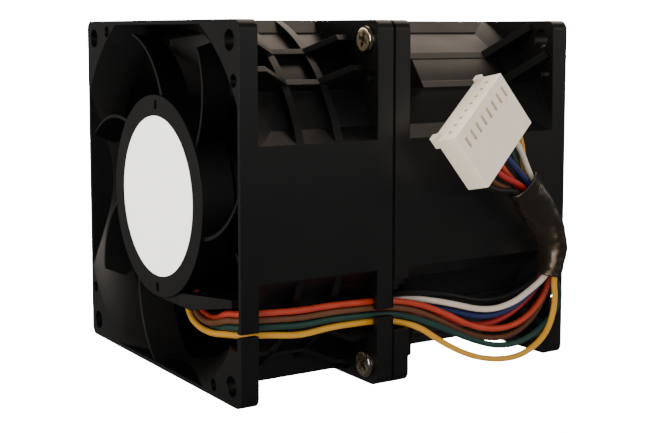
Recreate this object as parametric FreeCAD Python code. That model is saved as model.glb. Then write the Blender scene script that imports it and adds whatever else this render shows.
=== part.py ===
import FreeCAD, Part
import math
import os
from FreeCAD import Vector

# Counter-rotating axial fan for a server: two fan modules screwed back to back.
# The air path is the Y axis. The labelled face is at y = 0 and looks towards -Y.
# X is across the fan, Z is up, and the origin is the centre of the labelled face.
# All sizes are in millimetres.

# Outline of the two modules
frame_side = 80.0
front_depth = 38.0
rear_depth = 50.0
flange_thickness = 4.2
flange_corner_radius = 2.2
duct_margin = 2.0
duct_wall = 2.6
mouth_flare = 7.0
mouth_depth = 7.5
mouth_lip = 1.0
mouth_bulge_height = 0.5
mouth_middle = 0.45
mouth_wall = 2.0

# How far fused pieces run into each other
overlap = 0.5

# Mounting holes and the small holes beside them
mount_margin = 4.25
mount_hole_radius = 2.2
key_hole_radius = 1.35
key_hole_step = 8.2
key_hole_margin = 2.6

# Pads, ribs and fins on the outside of the duct
pad_half_width = 14.2
pad_chamfer = 2.8
base_pad_half_width = 22.4
base_pad_length = 18.0
base_pad_depth = 8.0
rib_height = 1.8
rib_width = 1.8
rib_places = (9.3, 18.9)
fin_offset = 4.5
fin_sink = 1.2
front_fin = {"thickness": 1.5, "height": 8.7, "foot": 4.0, "slope": 6.8}
rear_fin = {"thickness": 2.0, "height": 12.2, "foot": 0.8, "slope": 8.5}

# Motor base, struts and lead passages
hub_radius = 23.2
hub_rim_wall = 1.4
hub_rim_depth = 7.8
base_thickness = 2.6
label_margin = 4.8
label_recess = 0.35
label_thickness = 0.3
label_gap = 0.1
hub_slot_width = 1.5
hub_slot_length = 2.0
hub_slot_margin = 2.2
strut_count = 7
strut_first_angle = 84.6
strut_sweep = 26.0
strut_front_width = 1.0
strut_rear_width = 1.8
strut_front = 0.6
strut_depth = 7.4
strut_twist = 5.0
strut_bow = 0.42
strut_embed = 0.5
lead_strut_index = 3
lead_strut_rise = 4.0
lead_strut_bend = 0.45
lead_pocket_top = -20.0
lead_pocket_bottom = -28.0
lead_pocket_depth = 14.5
lead_finger = 1.6
lead_pocket_extra = 2.0
lead_slit_tops = {"front": -24.1, "middle": -22.9, "rear": -25.0}
lead_slit_heights = {"front": 0.8, "middle": 1.8, "rear": 1.2}
lead_notch_top = -16.7
lead_notch_depth = 4.0
lead_notch_bottom = -28.0
lead_window_angle = -70.0
lead_window_width = 8.6
lead_window_front = 3.4
lead_window_reach = 4.5
post_radius = 1.3
post_margin = 8.7
post_count = 3
post_first_angle = 30.0
socket_wall = 1.5
socket_height = 1.5

# Rotor
rotor_gap = 0.8
rotor_end_clearance = 4.0
tip_clearance = 0.6
cup_margin = 0.6
cup_wall = 1.4
cup_cap = 2.0
cup_edge_radius = 2.2
dish_margin = 5.5
dish_inner = 9.0
dish_depth = 0.6
yoke_wall = 1.2
yoke_cap = 1.2
yoke_boss_radius = 4.4
yoke_boss_height = 1.0
yoke_inset = 0.5
magnet_thickness = 2.1
magnet_inset = 0.8
magnet_overhang = 1.5
air_gap = 0.4
shaft_radius = 2.0
shaft_end = 3.2
groove_depth = 0.35
clip_thickness = 0.5
clip_radius = 3.2
clip_gap = 2.4

# Bearings
bearing_width = 4.0
bearing_radius = 4.5
ball_radius = 0.75
ball_circle_radius = 3.25
ball_count = 6
ball_clearance = 0.06
race_land = 0.4
bearing_start = 4.6
tube_wall = 1.5
tube_start = 2.6
tube_shoulder = 0.6
spring_wire = 0.25
spring_radius = 2.7
spring_length = 3.2
spring_turns = 2.5
spring_corners = 12

# Stator and board
tooth_count = 4
tooth_width = 4.6
shoe_thickness = 1.7
shoe_half_angle = 34.0
core_ring = 3.0
liner = 0.5
liner_bore_gap = 0.1
coil_build = 2.1
coil_end = 1.8
coil_rounding = 0.8
coil_ring_gap = 0.8
coil_shoe_gap = 0.9
coil_gap = 0.6
core_setback = 1.5
board_thickness = 1.2
board_front = 5.9
board_rim_gap = 1.2
board_bore_gap = 0.4

# Parts on the board: the driver chip's size, then for each part the share of the
# board's radius, the angle and the share of the chip's size
chip_width = 6.0
chip_height = 5.0
chip_thickness = 1.8
component_places = [
    (0.81, 170.0, 1.0),
    (0.78, 202.0, 0.82),
    (0.66, 81.5, 0.5),
    (0.60, -21.0, 0.5),
    (0.75, 249.0, 0.68),
]

# Blades: count, turning sense, root and tip setting angles from the axis
front_blades = 5
rear_blades = 7
blade_thickness = 1.5
blade_edge = 0.5
blade_camber = 0.09
blade_root_angle = 40.0
blade_tip_angle = 58.0
blade_tip_sweep = 6.0
blade_margin = 1.0
blade_root_sink = 4.6
blade_tip_excess = 2.5

# Joining screws
screw_head_radius = 3.0
screw_head_height = 1.2
screw_head_rounding = 0.6
screw_first_turn = 20.0
screw_turn_step = 35.0
screw_radius = 1.5
screw_length = 8.0
screw_hole_radius = 1.75
pilot_radius = 1.55
recess_depth = 1.4
recess_width = 0.9
recess_span = 3.4

# Connector on the leads: a flat nylon housing with one row of crimp terminals.
# It leans beside the rear module, and the three vectors give its place there.
connector_ways = 8
connector_pitch = 2.5
connector_side_wall = 2.45
connector_length = 14.0
connector_depth = 6.0
connector_edge_radius = 0.5
connector_corner = Vector(53.2, 44.4, 15.2)
connector_across = Vector(-0.255, 0.769, 0.586)
connector_along = Vector(0.043, 0.614, -0.788)
cavity_width = 1.9
cavity_depth = 2.2
cavity_start = 1.5
pin_hole = 0.9
latch_slot_width = 0.8
latch_slot_start = 2.0
latch_slot_length = 2.6
latch_slot_depth = 0.8
guide_rib = 1.0
guide_lug = 0.8
terminal_size = 1.7
terminal_start = 2.0
terminal_end = 7.4
terminal_bore = 0.8
terminal_crimp = 1.5

# Leads and the shrink sleeve round them
lead_radius = 0.7
lead_straight = 3.0
lead_row_spread = 0.8
bend_share = 0.45
sleeve_wall = 0.35
sleeve_clearance = 0.7
sleeve_row_pitch = 1.6
sleeve_corner = 0.6

# Middle of the sleeve from its lower to its upper end: place, direction across it, lead pitch
sleeve_stations = [
    (Vector(45.1, 78.6, -19.1), Vector(0.82, -0.57, 0.0), 1.7),
    (Vector(45.3, 80.0, -13.0), Vector(0.99, -0.09, 0.0), 1.6),
    (Vector(45.6, 77.2, -6.8), Vector(0.87, 0.5, 0.0), 1.65),
    (Vector(46.2, 72.7, -1.3), Vector(0.34, 0.8, 0.5), 1.65),
    (Vector(46.6, 68.9, 3.4), Vector(-0.255, 0.769, 0.586), 1.7),
]

# Leads in the order of the connector, and the corners of each from its board to the sleeve
lead_order = ["black", "brown", "red", "orange", "blue", "green", "white", "yellow"]
lead_corners = {
    "orange": [
        (7.7, 4.7, -13.7), (9.6, 4.7, -18.8), (11.9, 5.0, -24.7), (18.0, 4.9, -25.6),
        (25.0, 3.2, -23.5), (30.6, 1.8, -21.5), (35.8, 2.4, -20.9), (38.7, 7.6, -20.5),
        (39.0, 14.5, -20.9), (38.9, 22.0, -20.7), (38.2, 29.0, -21.1), (36.9, 35.0, -21.6),
        (37.2, 40.0, -22.0), (39.0, 45.4, -23.0), (41.4, 50.9, -25.3), (43.6, 57.5, -29.0),
        (44.4, 65.2, -30.4), (44.4, 72.3, -29.0), (44.2, 77.9, -24.6),
    ],
    "brown": [
        (6.1, 4.7, -14.3), (8.0, 4.7, -19.4), (10.4, 4.3, -25.2), (17.0, 3.2, -26.1),
        (24.5, 2.2, -24.9), (30.6, 1.8, -23.0), (35.8, 2.4, -22.4), (38.7, 7.6, -22.0),
        (39.0, 14.5, -22.5), (38.9, 22.0, -22.2), (38.2, 29.0, -22.6), (36.9, 35.0, -23.1),
        (37.2, 40.0, -23.5), (39.0, 45.4, -24.6), (40.9, 50.8, -27.3), (42.4, 58.5, -31.4),
        (42.9, 67.0, -33.2), (42.9, 74.9, -30.6), (42.9, 79.7, -24.6),
    ],
    "green": [
        (4.5, 4.7, -14.9), (6.4, 4.7, -20.0), (9.0, 5.1, -25.9), (15.8, 4.9, -27.3),
        (24.0, 3.6, -26.3), (30.6, 1.8, -24.5), (35.8, 2.4, -23.9), (38.7, 7.6, -23.5),
        (39.0, 14.5, -24.1), (38.9, 22.0, -23.7), (38.2, 29.0, -24.1), (36.9, 35.0, -24.6),
        (37.2, 40.0, -25.0), (39.2, 44.8, -26.2), (42.2, 49.2, -28.1), (44.7, 55.4, -31.2),
        (45.8, 62.9, -33.8), (45.9, 71.1, -33.6), (45.9, 79.3, -29.4), (46.1, 82.2, -23.5),
    ],
    "yellow": [
        (2.9, 4.7, -15.5), (4.8, 4.7, -20.6), (7.4, 4.3, -26.6), (14.6, 3.2, -27.9),
        (23.0, 2.2, -27.5), (30.6, 1.8, -26.0), (35.8, 2.4, -25.4), (38.7, 7.6, -25.2),
        (39.0, 14.5, -26.2), (38.9, 22.0, -25.4), (38.2, 29.0, -25.6), (36.9, 35.0, -26.1),
        (37.4, 40.0, -26.6), (39.9, 45.2, -28.0), (43.2, 48.6, -31.2), (46.4, 54.4, -34.6),
        (47.4, 62.0, -36.4), (47.4, 69.8, -36.2), (47.4, 76.7, -32.2), (47.2, 79.3, -25.0),
    ],
    "black": [
        (7.7, 42.7, -13.7), (9.6, 42.7, -18.8), (11.9, 42.9, -24.7), (18.0, 42.6, -25.6),
        (25.0, 41.4, -23.2), (30.4, 40.2, -21.7), (35.0, 41.0, -21.0), (37.0, 45.8, -20.7),
        (39.6, 53.0, -21.6), (41.0, 61.5, -24.1), (41.4, 68.8, -23.9), (41.4, 75.7, -21.8),
    ],
    "white": [
        (6.1, 42.7, -14.3), (8.0, 42.7, -19.4), (10.4, 42.3, -25.2), (17.0, 41.0, -26.6),
        (24.6, 40.2, -24.9), (30.4, 40.2, -23.2), (35.0, 41.0, -22.5), (37.0, 45.8, -22.2),
        (41.0, 52.5, -23.3), (44.8, 60.0, -25.4), (45.9, 67.0, -24.4), (45.8, 72.9, -21.6),
    ],
    "blue": [
        (4.5, 42.7, -14.9), (6.4, 42.7, -20.0), (9.0, 43.1, -25.9), (15.8, 42.7, -27.7),
        (24.0, 41.6, -26.4), (30.4, 40.2, -24.7), (35.0, 41.0, -24.0), (37.0, 45.8, -23.7),
        (40.2, 52.5, -25.1), (43.6, 60.5, -27.3), (44.4, 67.9, -26.1), (44.4, 74.4, -22.6),
    ],
    "red": [
        (2.9, 42.7, -15.5), (4.8, 42.7, -20.6), (7.4, 42.3, -26.6), (14.4, 41.0, -28.4),
        (23.0, 40.2, -27.6), (30.4, 40.2, -26.2), (35.0, 41.0, -25.5), (37.0, 45.8, -25.3),
        (39.6, 52.3, -27.1), (42.2, 60.5, -29.7), (42.9, 68.4, -28.0), (42.9, 75.7, -23.6),
    ],
}

half = frame_side / 2.0
hole_place = half - mount_margin
duct_radius = half - duct_margin
mouth_radius = duct_radius + mouth_flare
barrel_radius = duct_radius + duct_wall
rib_radius = barrel_radius + rib_height
total_depth = front_depth + rear_depth
label_radius = hub_radius - label_margin
hub_slot_radius = hub_radius - hub_slot_margin
post_circle_radius = hub_radius - post_margin
board_radius = hub_radius - hub_rim_wall - board_rim_gap
cup_radius = hub_radius - cup_margin
yoke_radius = cup_radius - cup_wall
magnet_radius = yoke_radius - yoke_wall
stator_radius = magnet_radius - magnet_thickness - air_gap
tube_radius = bearing_radius + tube_wall
coil_inner = tube_radius + core_ring + coil_ring_gap
coil_outer = stator_radius - shoe_thickness - coil_shoe_gap
blade_tip_radius = duct_radius - tip_clearance


def cylinder(radius, y_start, y_end, x=0.0, z=0.0):
    return Part.makeCylinder(radius, y_end - y_start, Vector(x, y_start, z), Vector(0, 1, 0))


def ring(outer, inner, y_start, y_end):
    return cylinder(outer, y_start, y_end).cut(cylinder(inner, y_start - 1, y_end + 1))


def block(x_low, x_high, y_low, y_high, z_low, z_high):
    corner = Vector(x_low, y_low, z_low)
    return Part.makeBox(x_high - x_low, y_high - y_low, z_high - z_low, corner)


def square(side, y_start, y_end):
    return block(-side / 2, side / 2, y_start, y_end, -side / 2, side / 2)


def turned(profile):
    """Solid of revolution about the fan axis; the profile is (radius, y) points."""
    points = [Vector(r, y, 0) for r, y in profile]
    wire = Part.makePolygon(points + [points[0]])
    return Part.Face(wire).revolve(Vector(0, 0, 0), Vector(0, 1, 0), 360)


def plate(points, y_start, y_end):
    """Prism along the fan axis from an (x, z) outline."""
    corners = [Vector(x, y_start, z) for x, z in points]
    face = Part.Face(Part.makePolygon(corners + [corners[0]]))
    return face.extrude(Vector(0, y_end - y_start, 0))


def about_axis(shape, degrees):
    """Copy turned about the fan axis, counter-clockwise as seen from the labelled face."""
    copy = shape.copy()
    copy.rotate(Vector(0, 0, 0), Vector(0, -1, 0), degrees)
    return copy


def polar(radius, degrees, y=0.0):
    angle = math.radians(degrees)
    return Vector(radius * math.cos(angle), y, radius * math.sin(angle))


def joined(shapes):
    body = shapes[0].fuse(shapes[1:]) if len(shapes) > 1 else shapes[0]
    return body.removeSplitter()


def flange(y_start):
    """Square flange with its four outer corners rounded."""
    body = square(frame_side, y_start, y_start + flange_thickness)
    corners = [edge for edge in body.Edges if abs(edge.tangentAt(edge.FirstParameter).y) > 0.9]
    return body.makeFillet(flange_corner_radius, corners)


def mouth(y_face, inward):
    """Cutter of the flared mouth, trimmed by the four flats of the frame."""
    y_duct = y_face + inward * mouth_depth
    middle_r = (mouth_radius + duct_radius) / 2 - mouth_bulge_height
    middle_y = y_face + inward * mouth_depth * mouth_middle
    start = Vector(mouth_radius, y_face, 0)
    flare = Part.Arc(start, Vector(middle_r, middle_y, 0), Vector(duct_radius, y_duct, 0)).toShape()
    outside = Vector(mouth_radius, y_face - inward, 0)
    axis_out = Vector(0, y_face - inward, 0)
    axis_in = Vector(0, y_duct, 0)
    lines = [
        Part.LineSegment(Vector(duct_radius, y_duct, 0), axis_in).toShape(),
        Part.LineSegment(axis_in, axis_out).toShape(),
        Part.LineSegment(axis_out, outside).toShape(),
        Part.LineSegment(outside, start).toShape(),
    ]
    profile = Part.Face(Part.Wire([flare] + lines))
    flared = profile.revolve(Vector(0, 0, 0), Vector(0, 1, 0), 360)
    low = min(y_face - inward, y_duct)
    return flared.common(square(frame_side - 2 * mouth_lip, low, low + mouth_depth + 1))


def flare_shell(y_face, inward):
    """Outside of the mouth: a cone that runs from the flange down to the duct wall."""
    y_flange = y_face + inward * flange_thickness
    y_end = y_face + inward * (mouth_depth + mouth_wall)
    cone_radius = barrel_radius + mouth_wall
    outline = [(0, y_face), (cone_radius, y_face), (cone_radius, y_flange)]
    outline += [(barrel_radius, y_end), (0, y_end)]
    return turned(outline)


def side_pad(y_start, y_end):
    """Flat pad on one side of the duct, flush with the flanges and chamfered along both edges."""
    inner = half - pad_chamfer
    outline = [
        (0, -pad_half_width - pad_chamfer),
        (inner, -pad_half_width - pad_chamfer),
        (half, -pad_half_width),
        (half, pad_half_width),
        (inner, pad_half_width + pad_chamfer),
        (0, pad_half_width + pad_chamfer),
    ]
    return plate(outline, y_start, y_end)


def corner_fin(y_start, y_end, middle_radius, size):
    """Fin that runs between the flanges beside a corner hole, cut back in its middle."""
    inner = duct_radius + fin_sink
    outer = duct_radius + size["height"]
    a = y_start + size["foot"]
    b = a + size["slope"]
    d = y_end - size["foot"]
    c = d - size["slope"]
    outline = [(inner, y_start), (outer, y_start), (outer, a), (middle_radius, b)]
    outline += [(middle_radius, c), (outer, d), (outer, y_end), (inner, y_end)]
    points = [Vector(r, y, 0) for r, y in outline]
    face = Part.Face(Part.makePolygon(points + [points[0]]))
    return face.extrude(Vector(0, 0, size["thickness"]))


def corner_fins(y_start, y_end, middle_radius, size):
    """Two fins beside each of the four corner holes."""
    fins = []
    fin = corner_fin(y_start, y_end, middle_radius, size)
    for corner in range(4):
        for side in (-1, 1):
            copy = fin.copy()
            copy.translate(Vector(0, 0, side * fin_offset - size["thickness"] / 2))
            fins.append(about_axis(copy, 45 + 90 * corner))
    return fins


def flange_holes(y_start, radius):
    """Corner holes through one flange, with the small key hole beside each."""
    cutters = []
    key_across = half - key_hole_margin
    key_along = hole_place - key_hole_step
    for corner in range(4):
        hole = cylinder(radius, y_start - 1, y_start + flange_thickness + 1, hole_place, hole_place)
        key = cylinder(key_hole_radius, y_start - 1, y_start + flange_thickness + 1, key_across, key_along)
        cutters.append(about_axis(hole, 90 * corner))
        cutters.append(about_axis(key, 90 * corner))
    return cutters


def lead_pocket(y_start, y_end, place):
    """Pocket for the leads behind the side of a flange, with the slit that they snap in through."""
    pocket = block(half - lead_pocket_depth, half - lead_finger, y_start - 1, y_end,
                   lead_pocket_bottom, lead_pocket_top)
    top = lead_slit_tops[place]
    bottom = top - lead_slit_heights[place]
    return pocket.fuse(block(half - lead_finger - overlap, half + 1, y_start - 1, y_end, bottom, top))


def vane(angle, y_face):
    """Swept strut between the motor base and the duct, thin at its front edge and slightly twisted."""
    def section(y, width, turn):
        def at(radius, share, side):
            place = polar(radius, angle + turn + strut_sweep * share, y)
            along = polar(1, angle + turn + strut_sweep * share + 90, 0)
            return place + along * (side * width / 2)
        inner = hub_radius - hub_rim_wall / 2
        outer = duct_radius + duct_wall * strut_embed
        middle = (inner + outer) / 2
        low = Part.Arc(at(inner, 0, -1), at(middle, strut_bow, -1), at(outer, 1, -1)).toShape()
        high = Part.Arc(at(outer, 1, 1), at(middle, strut_bow, 1), at(inner, 0, 1)).toShape()
        tip = Part.LineSegment(at(outer, 1, -1), at(outer, 1, 1)).toShape()
        root = Part.LineSegment(at(inner, 0, 1), at(inner, 0, -1)).toShape()
        return Part.Wire([low, tip, high, root])
    front = section(y_face + strut_front, strut_front_width, 0)
    rear = section(y_face + strut_front + strut_depth, strut_rear_width, strut_twist)
    return Part.makeLoft([front, rear], True, True)


def lead_strut(y_face):
    """Flat strut that the leads run under, from the foot of the motor base to the lead pocket."""
    top = -hub_radius + hub_rim_wall
    width = strut_rear_width
    z_end = top + lead_strut_rise
    x_end = math.sqrt(duct_radius ** 2 - z_end ** 2) + duct_wall * strut_embed
    points = [(1.0, top), (x_end, z_end), (x_end, z_end - width)]
    points += [(x_end * lead_strut_bend, top - width), (1.0, top - width)]
    return plate(points, y_face + strut_front, y_face + strut_front + strut_depth)


def motor_base(y_face):
    """Disc and rim that carry the motor, with the label recess, two slots and the lead window."""
    disc = cylinder(hub_radius, y_face, y_face + base_thickness)
    rim = ring(hub_radius, hub_radius - hub_rim_wall, y_face, y_face + hub_rim_depth)
    y_inside = y_face + base_thickness
    socket = ring(tube_radius + socket_wall, tube_radius, y_inside - overlap, y_inside + socket_height)
    posts = []
    for index in range(post_count):
        place = polar(post_circle_radius, post_first_angle + 360.0 * index / post_count)
        posts.append(cylinder(post_radius, y_inside - overlap, y_face + board_front, place.x, place.z))
    body = joined([disc, rim, socket] + posts)
    body = body.cut(cylinder(label_radius + label_gap, y_face - 1, y_face + label_recess))
    for side in (-1, 1):
        z_mid = side * hub_slot_radius
        body = body.cut(block(-hub_slot_width / 2, hub_slot_width / 2, y_face - 1, y_inside + 1,
                              z_mid - hub_slot_length / 2, z_mid + hub_slot_length / 2))
    return body


def lead_window(y_face):
    """Cutter for the gap in the rim that the leads leave by, behind the foot of the lead strut."""
    window = block(hub_radius - lead_window_reach, hub_radius + lead_window_reach,
                   y_face + lead_window_front, y_face + hub_rim_depth + 1,
                   -lead_window_width / 2, lead_window_width / 2)
    return about_axis(window, lead_window_angle)


def struts(y_face):
    vanes = []
    for index in range(strut_count):
        if index == lead_strut_index:
            continue
        vanes.append(vane(strut_first_angle - 360.0 * index / strut_count, y_face))
    return vanes + [lead_strut(y_face)]


def duct_shell(y_start, y_end, mouth_at_front, ribs, fin_middle, fin_size, base_pad_end):
    """Flanges, duct wall, pads, ribs and fins of one module, before its holes."""
    y_front = y_start + flange_thickness
    y_back = y_end - flange_thickness
    walls = [cylinder(barrel_radius, y_start, y_end)]
    walls.append(flare_shell(y_start, 1) if mouth_at_front else flare_shell(y_end, -1))
    for quarter in range(4):
        walls.append(about_axis(side_pad(y_front, y_back), 90 * quarter))
    walls.append(block(-base_pad_half_width, base_pad_half_width, y_front, base_pad_end,
                       -half, -half + base_pad_depth))
    for place in ribs:
        walls.append(cylinder(rib_radius, y_front + place, y_front + place + rib_width))
    walls += corner_fins(y_front, y_back, fin_middle, fin_size)
    body = joined([flange(y_start), flange(y_back)] + walls)
    body = body.common(square(frame_side, y_start, y_end))
    return body.cut(cylinder(duct_radius, y_start - 1, y_end + 1))


def front_frame():
    base_pad_end = front_depth - flange_thickness
    body = duct_shell(0, front_depth, True, rib_places, rib_radius, front_fin, base_pad_end)
    cutters = [mouth(0, 1)]
    cutters += flange_holes(0, mount_hole_radius)
    cutters += flange_holes(front_depth - flange_thickness, screw_hole_radius)
    cutters.append(lead_pocket(0, flange_thickness + lead_pocket_extra, "front"))
    y_middle = front_depth - flange_thickness
    middle_pocket = lead_pocket(y_middle, front_depth + 1, "middle")
    cutters.append(middle_pocket.cut(cylinder(barrel_radius, 0, total_depth)))
    body = body.cut(cutters)
    return joined([body] + struts(0) + [motor_base(0)]).cut(lead_window(0))


def rear_frame():
    y_start = front_depth
    base_pad_end = y_start + base_pad_length
    body = duct_shell(y_start, total_depth, False, (), barrel_radius, rear_fin, base_pad_end)
    cutters = [mouth(total_depth, -1)]
    cutters += flange_holes(y_start, pilot_radius)
    cutters += flange_holes(total_depth - flange_thickness, mount_hole_radius)
    y_notch = y_start + flange_thickness + lead_pocket_extra
    cutters.append(block(half - lead_notch_depth, half + 1, y_start - 1, y_notch,
                         lead_notch_bottom, lead_notch_top))
    cutters.append(block(half - lead_pocket_depth, half, y_start - 1, y_notch,
                         lead_notch_bottom, lead_pocket_top))
    y_last = total_depth - flange_thickness
    rear_pocket = lead_pocket(y_last, total_depth + 1, "rear")
    cutters.append(rear_pocket.cut(cylinder(mouth_radius, 0, total_depth + 2)))
    body = body.cut(cutters)
    return joined([body] + struts(y_start) + [motor_base(y_start)]).cut(lead_window(y_start))


class Module:
    """Places along the axis of the motor and rotor of one module."""

    def __init__(self, y_face, depth, blades, sense):
        self.face = y_face
        self.blades = blades
        self.sense = sense
        self.cup_start = y_face + hub_rim_depth + rotor_gap
        self.cup_end = y_face + depth - rotor_end_clearance
        self.yoke_start = self.cup_start + yoke_inset
        self.yoke_end = self.cup_end - cup_cap
        self.tube_start = y_face + tube_start
        self.bearing_a = y_face + bearing_start
        self.spring_end = self.yoke_end - yoke_cap - yoke_boss_height
        self.bearing_b = self.spring_end - spring_length - bearing_width
        self.core_start = y_face + board_front + board_thickness + coil_end + liner * 2 + coil_gap
        self.core_end = self.bearing_b + bearing_width - coil_end - core_setback
        self.shaft_start = y_face + shaft_end
        self.shaft_stop = self.yoke_end
        self.clip_start = self.bearing_a - clip_thickness


def blade(module):
    """One swept, twisted and cambered blade, lofted through three plane sections."""
    span = module.cup_end - module.cup_start - 2 * blade_margin
    y_mid = (module.cup_start + module.cup_end) / 2
    sections = []
    root = cup_radius - blade_root_sink
    tip = duct_radius + blade_tip_excess
    for share in (0.0, 0.55, 1.0):
        height = root + (tip - root) * share
        setting = math.radians(blade_root_angle + (blade_tip_angle - blade_root_angle) * share)
        drift = blade_tip_sweep * share
        chord = span / math.cos(setting)
        sections.append(blade_section(height, chord, setting, drift, y_mid, module.sense))
    solid = Part.makeLoft(sections, True, False)
    keep = ring(blade_tip_radius, yoke_radius + cup_wall / 2, 0, total_depth)
    return solid.common(keep)


def blade_section(height, chord, setting, drift, y_mid, sense):
    """Closed cambered profile at one height above the axis."""
    along = Vector(sense * math.sin(setting), math.cos(setting), 0)
    across = Vector(-sense * math.cos(setting), math.sin(setting), 0)
    centre = Vector(sense * drift, y_mid, height)

    def at(s, t):
        return centre + along * (s * chord / 2) + across * t
    bow = blade_camber * chord
    edge = blade_edge / 2
    top = Part.Arc(at(-1, edge), at(0, bow + blade_thickness / 2), at(1, edge)).toShape()
    bottom = Part.Arc(at(1, -edge), at(0, bow - blade_thickness / 2), at(-1, -edge)).toShape()
    leading = Part.LineSegment(at(-1, -edge), at(-1, edge)).toShape()
    trailing = Part.LineSegment(at(1, edge), at(1, -edge)).toShape()
    return Part.Wire([top, trailing, bottom, leading])


def impeller(module):
    """Plastic cup with its blades, moulded round the steel yoke."""
    cup = cylinder(cup_radius, module.cup_start, module.cup_end)
    rim = [e for e in cup.Edges if abs(e.CenterOfMass.y - module.cup_end) < 0.01 and e.Length > 10]
    cup = cup.makeFillet(cup_edge_radius, rim)
    dish = ring(cup_radius - dish_margin, dish_inner, module.cup_end - dish_depth, module.cup_end + 1)
    cup = cup.cut(dish)
    first = blade(module)
    blades = [about_axis(first, 360.0 * index / module.blades) for index in range(module.blades)]
    body = joined([cup] + blades)
    return body.cut(cylinder(yoke_radius, module.cup_start - 1, module.yoke_end))


def yoke(module):
    """Pressed steel cup with the boss that holds the shaft."""
    y_inner = module.yoke_end - yoke_cap
    body = turned([
        (yoke_radius, module.yoke_start), (yoke_radius, module.yoke_end),
        (shaft_radius, module.yoke_end), (shaft_radius, module.spring_end),
        (yoke_boss_radius, module.spring_end), (yoke_boss_radius, y_inner),
        (magnet_radius, y_inner), (magnet_radius, module.yoke_start)])
    return body


def magnet(module):
    start = module.yoke_start + magnet_inset
    end = min(module.core_end + magnet_overhang, module.yoke_end - yoke_cap - magnet_inset)
    return ring(magnet_radius, magnet_radius - magnet_thickness, start, end)


def shaft(module):
    """Shaft with the groove for its retaining clip."""
    rod = cylinder(shaft_radius, module.shaft_start, module.shaft_stop)
    groove = ring(shaft_radius + 1, shaft_radius - groove_depth, module.clip_start, module.bearing_a)
    return rod.cut(groove)


def retaining_clip(module):
    """Split ring snapped into the shaft groove."""
    body = ring(clip_radius, shaft_radius - groove_depth, module.clip_start, module.bearing_a)
    return body.cut(block(0, clip_radius + 1, module.clip_start - 1, module.bearing_a + 1,
                          -clip_gap / 2, clip_gap / 2))


def groove_ring(y_mid):
    return Part.makeTorus(ball_circle_radius, ball_radius + ball_clearance, Vector(0, y_mid, 0), Vector(0, 1, 0))


def bearing_starts(module):
    return (module.bearing_a, module.bearing_b)


def inner_rings(module):
    rings = []
    for start in bearing_starts(module):
        body = ring(ball_circle_radius - race_land, shaft_radius, start, start + bearing_width)
        rings.append(body.cut(groove_ring(start + bearing_width / 2)))
    return rings


def outer_rings(module):
    rings = []
    for start in bearing_starts(module):
        body = ring(bearing_radius, ball_circle_radius + race_land, start, start + bearing_width)
        rings.append(body.cut(groove_ring(start + bearing_width / 2)))
    return rings


def balls(module):
    solids = []
    for start in bearing_starts(module):
        for index in range(ball_count):
            place = polar(ball_circle_radius, 360.0 * index / ball_count, start + bearing_width / 2)
            solids.append(Part.makeSphere(ball_radius, place))
    return solids


def bearing_tube(module):
    """Metal tube that holds both bearings against shoulders and carries the stator."""
    end = module.bearing_b + bearing_width
    body = ring(tube_radius, bearing_radius, module.tube_start, end)
    shoulder = ring(bearing_radius, bearing_radius - tube_shoulder,
                    module.bearing_a + bearing_width, module.bearing_b)
    return joined([body, shoulder])


def spring(module):
    """Preload spring between the rear bearing and the boss of the yoke."""
    start = module.bearing_b + bearing_width + spring_wire
    height = spring_length - 2 * spring_wire
    steps = int(spring_turns * spring_corners)
    radius = spring_radius / math.cos(math.pi / spring_corners)
    corners = []
    for number in range(steps + 1):
        corners.append(polar(radius, 360.0 * number / spring_corners, start + height * number / steps))
    return tube(rounded_path(corners)[0], corners[0], corners[1], spring_wire)


def stator_core(module):
    """Laminated core: a ring on the bearing tube and four T-shaped teeth."""
    y0, y1 = module.core_start, module.core_end
    parts = [ring(tube_radius + core_ring, tube_radius, y0, y1)]
    rim = ring(stator_radius, stator_radius - shoe_thickness, y0, y1)
    reach = frame_side
    edge = math.tan(math.radians(shoe_half_angle)) * reach
    wedge = plate([(0, 0), (reach, edge), (reach, -edge)], y0 - 1, y1 + 1)
    tooth = block(tube_radius + core_ring - 1, stator_radius - shoe_thickness / 2, y0, y1,
                  -tooth_width / 2, tooth_width / 2)
    for index in range(tooth_count):
        turn = 45 + 360.0 * index / tooth_count
        parts.append(about_axis(tooth, turn))
        parts.append(rim.common(about_axis(wedge, turn)))
    return joined(parts)


def insulator(module):
    """Plastic liner round each tooth, joined by a ring at both ends of the core."""
    y0 = module.core_start - liner * 2
    y1 = module.core_end + liner * 2
    inner = tube_radius + core_ring
    shoe = stator_radius - shoe_thickness
    bore = tube_radius + liner_bore_gap
    parts = [ring(inner + liner, bore, y0, module.core_start)]
    parts.append(ring(inner + liner, bore, module.core_end, y1))
    arm = block(inner - 1, coil_outer + liner, y0, y1, -tooth_width / 2 - liner, tooth_width / 2 + liner)
    for index in range(tooth_count):
        parts.append(about_axis(arm, 45 + 360.0 * index / tooth_count))
    body = joined(parts).cut(cylinder(inner, module.core_start, module.core_end))
    body = body.common(cylinder(shoe, y0, y1))
    return body.cut(stator_core(module))


def windings(module):
    """Four copper coils, one round each lined tooth."""
    side = tooth_width / 2 + liner
    y0 = module.core_start - liner * 2
    y1 = module.core_end + liner * 2
    wide = side + coil_build
    coil = block(coil_inner, coil_outer, y0 - coil_end, y1 + coil_end, -wide, wide)
    edges = [e for e in coil.Edges if abs(e.tangentAt(e.FirstParameter).x) > 0.9]
    coil = coil.makeFillet(min(coil_build, coil_end) * coil_rounding, edges)
    coil = coil.cut(block(coil_inner - 1, coil_outer + 1, y0, y1, -side, side))
    return [about_axis(coil, 45 + 360.0 * index / tooth_count) for index in range(tooth_count)]


def circuit_board(module):
    start = module.face + board_front
    return ring(board_radius, tube_radius + board_bore_gap, start, start + board_thickness)


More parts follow.
